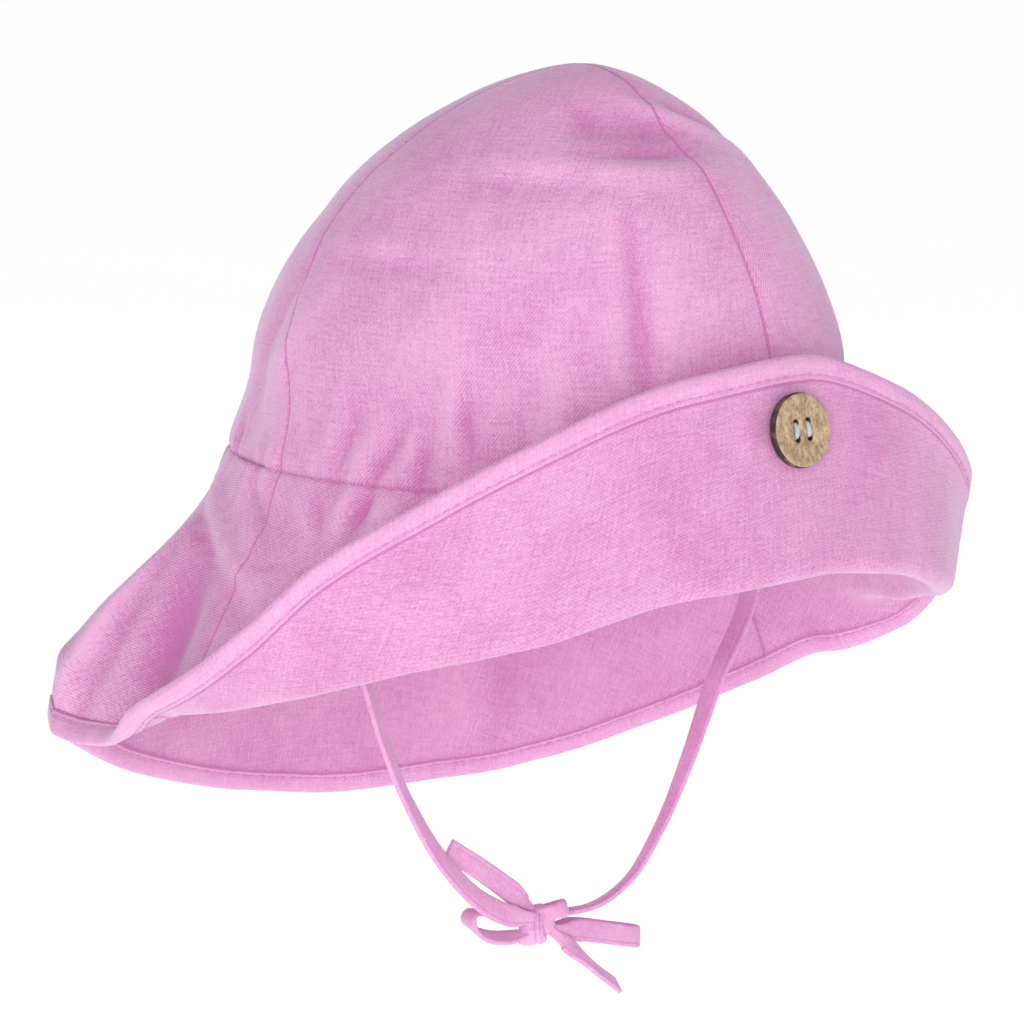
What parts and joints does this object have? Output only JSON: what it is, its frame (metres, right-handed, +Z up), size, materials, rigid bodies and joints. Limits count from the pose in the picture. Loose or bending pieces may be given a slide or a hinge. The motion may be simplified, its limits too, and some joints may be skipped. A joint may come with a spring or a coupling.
{
  "type": "baby sun hat",
  "caption": "Soft cloth sun hat with a domed crown, a brim turned up in front and hanging as a neck flap behind, a button and ties in a bow.",
  "frame": {"origin": "middle of the oval head opening, at the height of the seam between crown and brim", "axes": "+Z up through the crown, -Y the front of the hat, -X the wearer's right"},
  "size_m": [0.2186, 0.2094, 0.2285],
  "materials": {
    "pink_cloth": "matt woven cotton",
    "coconut_shell": "satin"
  },
  "bodies": {
    "root": {"crown_right": "pink_cloth", "crown_left": "pink_cloth", "crown_back": "pink_cloth", "brim_front": "pink_cloth", "brim_back": "pink_cloth", "brim_binding": "pink_cloth", "button": "coconut_shell", "tie_right": "pink_cloth", "tie_left": "pink_cloth", "bow_knot": "pink_cloth", "bow_loop_right": "pink_cloth", "bow_loop_left": "pink_cloth", "bow_tail_right": "pink_cloth", "bow_tail_left": "pink_cloth"}
  },
  "joints": []
}
